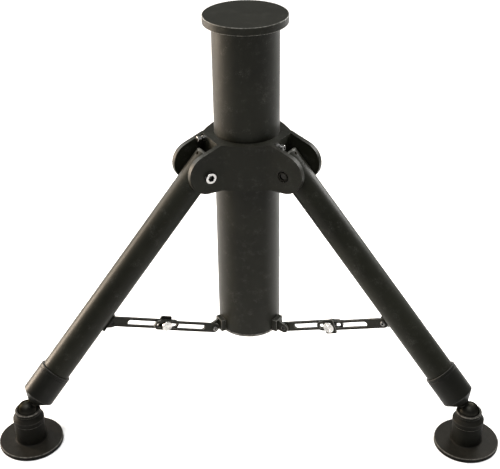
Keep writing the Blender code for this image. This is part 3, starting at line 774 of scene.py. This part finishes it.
def sleeve(spoke):
    """The turning end of the leg, with a fine groove near its top and a cone below."""
    side = spoke.side
    low, high = extent(f"level_sleeve_{side}", spoke.leg)
    radius = high.x
    bore = extent(f"leg_tube_{side}", spoke.leg)[1].x + FIT
    outline = [(bore, high.z, 0.0004), (radius, high.z, 0.0009)]
    groove = high.z - SLEEVE_GROOVE_DROP
    outline += [
        (radius, groove + SLEEVE_GROOVE_MOUTH),
        (radius - SLEEVE_GROOVE_DEPTH, groove + SLEEVE_GROOVE_FLOOR),
        (radius - SLEEVE_GROOVE_DEPTH, groove - SLEEVE_GROOVE_FLOOR),
        (radius, groove - SLEEVE_GROOVE_MOUTH),
    ]
    outline += [
        (radius, low.z + CONE_LENGTH, 0.0035),
        (CONE_TIP_R, low.z, 0.0012),
        (SHANK_R + FIT, low.z),
        (SHANK_R + FIT, -SHOULDER),
        (bore, -SHOULDER),
    ]
    mesh = shaded(turned(softened(outline, 4)), lambda middle: SLEEVE_SHADE)
    piece(f"sleeve_{side}", mesh, COAT, f"sleeve_{side}", spoke.leg, f"level_sleeve_{side}")


def stud(spoke):
    """The ball with its neck, and the shank that goes up into the sleeve."""
    side = spoke.side
    low, high = extent(f"ball_stud_{side}", spoke.stud)
    radius = -low.z
    first = math.asin(NECK_R / radius)
    seat = extent(f"level_sleeve_{side}", spoke.stud)[0].z - STUD_STEP_DROP
    ball = [(radius * math.sin(a), radius * math.cos(a)) for a in np.linspace(math.pi, first, 40)]
    ball[0] = (0.0, -radius)
    outline = [*ball, (NECK_R, seat, 0.0006), (SHANK_R, seat), (SHANK_R, high.z, 0.001), (0.0, high.z)]
    mesh = turned(softened(outline))
    piece(f"ball_{side}", mesh, DARK, f"stud_{side}", spoke.stud, f"ball_stud_{side}")


# ---- Foot ----


def foot(spoke):
    """The round pad with its hub, and the ring that keeps the ball in. The CAD model's liner stays."""
    side = spoke.side
    body = f"foot_{side}"
    low, high = extent(f"foot_base_{side}", spoke.ball)
    cap_low, cap_high = extent(f"foot_cap_{side}", spoke.ball)
    ground = low.z
    seat_edge = math.acos(-high.z / SEAT_R)
    seat = [(SEAT_R * math.sin(a), -SEAT_R * math.cos(a)) for a in np.linspace(seat_edge, 0.0, 14)]
    seat[-1] = (0.0, -SEAT_R)
    base = [
        (0.0, ground),
        (high.x, ground, 0.0016),
        (high.x, ground + DISC_T, 0.0022),
        (FOOT_HUB_R, ground + DISC_T + DISC_RISE, 0.0035),
        (FOOT_HUB_R, ground + FOOT_HUB_TOP, 0.0008),
        (FOOT_BOSS_R, ground + FOOT_HUB_TOP),
        (FOOT_BOSS_R, high.z, 0.0005),
        *seat,
    ]
    piece(f"pad_{side}", turned(softened(base, 5), WIDE), CAST, body, spoke.ball, f"foot_base_{side}")

    inside = FOOT_BOSS_R + FIT
    collar = cap_high.x
    ring = [
        (inside, cap_low.z),
        (collar, cap_low.z, 0.001),
        (collar, ground + COLLAR_TOP, 0.003),
        (GROOVE_R, ground + GROOVE_BOTTOM, 0.0012),
        (GROOVE_R, ground + GROOVE_TOP, 0.0006),
        (LIP_R, ground + GROOVE_TOP + 0.0008, 0.0012),
        (LIP_R, cap_high.z, 0.0024),
        (MOUTH_R, cap_high.z, 0.0012),
        (MOUTH_R, cap_high.z - MOUTH_DEPTH),
        (CAP_BORE_R, cap_high.z - MOUTH_DEPTH),
        (CAP_BORE_R, ground + CAP_BORE_BOTTOM),
        (inside, high.z + TOUCH),
    ]
    piece(f"ball_ring_{side}", turned(softened(ring, 5)), CAST, body, spoke.ball, f"foot_cap_{side}")

    liner = frame["nodes"][f"ball_liner_{side}"]
    liner.data.materials.clear()
    liner.data.materials.append(NYLON)


# ---- Braces ----


def pin(node, body, place, side):
    """A button-head screw through a bar into its lug, with its head on the +Y or -Y side."""
    low, high = extent(node, place)
    length = high.y - low.y - PIN_HEAD_T - PIN_SHORT
    mesh = socket_screw(
        high.x, PIN_HEAD_T, PIN_SHANK_R, length, PIN_SOCKET, PIN_SOCKET_DEPTH, PIN_CROWN, PIN_DULLED
    )
    if side > 0.0:
        seat = Matrix.Translation((0.0, high.y - PIN_HEAD_T, 0.0)) @ ALONG_Y
    else:
        seat = Matrix.Translation((0.0, low.y + PIN_HEAD_T, 0.0)) @ ALONG_MINUS_Y
    piece(f"{node}_screw", mesh, BRIGHT, body, place @ seat, node)


def ringed_face(radius, thick, rings=3, deep=0.0006):
    """A turned end face from its rim in to the middle: a rounded edge and shallow grooves."""
    outline = [(radius, thick, 0.0012)]
    for ring in range(rings):
        outer = radius * (0.80 - 0.22 * ring)
        outline += [
            (outer, thick),
            (outer - deep, thick - deep),
            (outer - 0.0014, thick - deep),
            (outer - 0.002, thick),
        ]
    return [*outline, (0.0, thick)]


def brace(spoke):
    """The lug and pin on the column, the two bars, and the clamp with its screw and knob."""
    side = spoke.side
    rounded_plate(f"column_lug_{side}", COAT, "hub")
    pin(f"inner_pin_{side}", "hub", spoke.inner, 1.0)
    rounded_plate(f"inner_bar_{side}", COAT, f"inner_brace_{side}", width=0.0006)
    rounded_plate(f"outer_bar_{side}", COAT, f"outer_brace_{side}", width=0.0006)
    rounded_plate(f"clamp_plate_{side}", COAT, f"clamp_{side}")

    low, high = extent(f"clamp_bolt_{side}", spoke.clamp)
    end = low.y - high.y + CLAMP_HEAD_T
    outline = [(0.0, end), (CLAMP_SHANK_R, end, 0.0006), (CLAMP_SHANK_R, 0.0)]
    outline += [(high.x, 0.0, 0.0004), *ringed_face(high.x, CLAMP_HEAD_T)]
    place = spoke.clamp @ Matrix.Translation((0.0, high.y - CLAMP_HEAD_T, 0.0)) @ ALONG_Y
    bolt = turned(softened(outline), SMALL)
    piece(f"clamp_screw_{side}", bolt, BRIGHT, f"clamp_{side}", place, f"clamp_bolt_{side}")

    low, high = extent(f"clamp_knob_{side}", spoke.clamp)
    radius = high.x
    thick = high.y - low.y
    hole = CLAMP_SHANK_R + FIT

    # Grooves across the rim, but not on its two end bands
    def knurl(angle, here, height):
        if here < 0.93 * radius or not 0.2 * thick < height < 0.8 * thick:
            return here
        return here - KNURL_DEPTH * abs(math.sin(0.5 * KNURLS * angle))

    outline = [(hole, 0.0), (radius - 0.0012, 0.0), (radius - 0.0002, 0.19 * thick), (radius, 0.21 * thick)]
    outline += [(radius, 0.79 * thick), (radius - 0.0002, 0.81 * thick), *ringed_face(radius - 0.0008, thick)]
    outline += [(0.0, 0.7 * thick), (hole, 0.7 * thick)]
    place = spoke.clamp @ Matrix.Translation((0.0, high.y, 0.0)) @ ALONG_MINUS_Y
    knob = turned(softened(outline), 4 * KNURLS, knurl)
    piece(f"knob_{side}_grip", knob, BRIGHT, f"knob_{side}", place, f"clamp_knob_{side}")


# ---- Stage ----

FLOOR_HALF = 9.0


def area_light(name, place, target, size, power, colour):
    """A soft light that faces its target and isn't itself seen."""
    data = bpy.data.lights.new(name, "AREA")
    data.shape = "RECTANGLE"
    data.size, data.size_y = size
    data.energy = power
    data.color = colour
    light = bpy.data.objects.new(name, data)
    light.location = place
    light.rotation_euler = (Vector(target) - Vector(place)).to_track_quat("-Z", "Y").to_euler()
    light.visible_camera = False
    bpy.context.scene.collection.objects.link(light)


def floor():
    """A wide pale floor under the feet."""
    solid = bmesh.new()
    bmesh.ops.create_grid(solid, x_segments=1, y_segments=1, size=FLOOR_HALF)
    mesh = bpy.data.meshes.new("floor")
    solid.to_mesh(mesh)
    solid.free()
    ground = bpy.data.objects.new("floor", mesh)
    ground.location.z = cad_box[0].z
    bpy.context.scene.collection.objects.link(ground)
    pale = bpy.data.materials.new("floor")
    pale.use_nodes = True
    shader = pale.node_tree.nodes["Principled BSDF"]
    shader.inputs["Base Color"].default_value = (0.86, 0.86, 0.86, 1.0)
    shader.inputs["Roughness"].default_value = 0.9
    mesh.materials.append(pale)


def lights():
    """A dim white surround, a broad sun, a warm strip on the left, two lights behind and a faint fill."""
    world = bpy.data.worlds.new("studio")
    world.use_nodes = True
    background = world.node_tree.nodes["Background"]
    background.inputs["Color"].default_value = (1.0, 1.0, 1.0, 1.0)
    background.inputs["Strength"].default_value = 0.25
    bpy.context.scene.world = world
    middle = (0.0, 0.0, -0.45)
    hub_middle = (0.0, 0.0, -0.58)
    sun = bpy.data.lights.new("sun", "SUN")
    sun.energy = 3.4
    sun.angle = math.radians(40.0)
    high_sun = bpy.data.objects.new("sun", sun)
    high_sun.rotation_euler = (math.radians(12.0), math.radians(-8.0), 0.0)
    bpy.context.scene.collection.objects.link(high_sun)
    area_light("strip", (-4.2, 1.2, -0.2), middle, (0.8, 2.5), 600.0, (1.0, 0.83, 0.66))
    area_light("back_right", (1.05, 0.8, 0.1), hub_middle, (0.8, 0.7), 36.0, (1.0, 0.99, 0.96))
    area_light("back_left", (-1.0, 0.95, 0.2), hub_middle, (0.7, 0.7), 22.0, (1.0, 0.99, 0.96))
    area_light("fill", (2.2, -1.2, 1.0), middle, (1.6, 1.6), 2.0, (0.97, 0.985, 1.0))


def camera():
    """The view from in front and above: lens, place and aim, with a slight roll."""
    data = bpy.data.cameras.new("camera")
    data.sensor_width = 36.0
    data.lens = 77.97
    item = bpy.data.objects.new("camera", data)
    item.location = (0.0632, -2.2827, 0.7647)
    heading = math.radians(1.486)
    pitch = math.radians(90.0 - 30.05)
    roll = math.radians(-0.758)
    turn = Matrix.Rotation(heading, 4, "Z") @ Matrix.Rotation(pitch, 4, "X") @ Matrix.Rotation(roll, 4, "Z")
    item.rotation_euler = turn.to_euler()
    bpy.context.scene.collection.objects.link(item)
    bpy.context.scene.camera = item


bpy.context.scene.view_settings.view_transform = "Standard"
camera()
column()
for side in SIDES:
    spoke = Spoke(side)
    hub(spoke)
    leg(spoke)
    sleeve(spoke)
    stud(spoke)
    foot(spoke)
    brace(spoke)
floor()
lights()
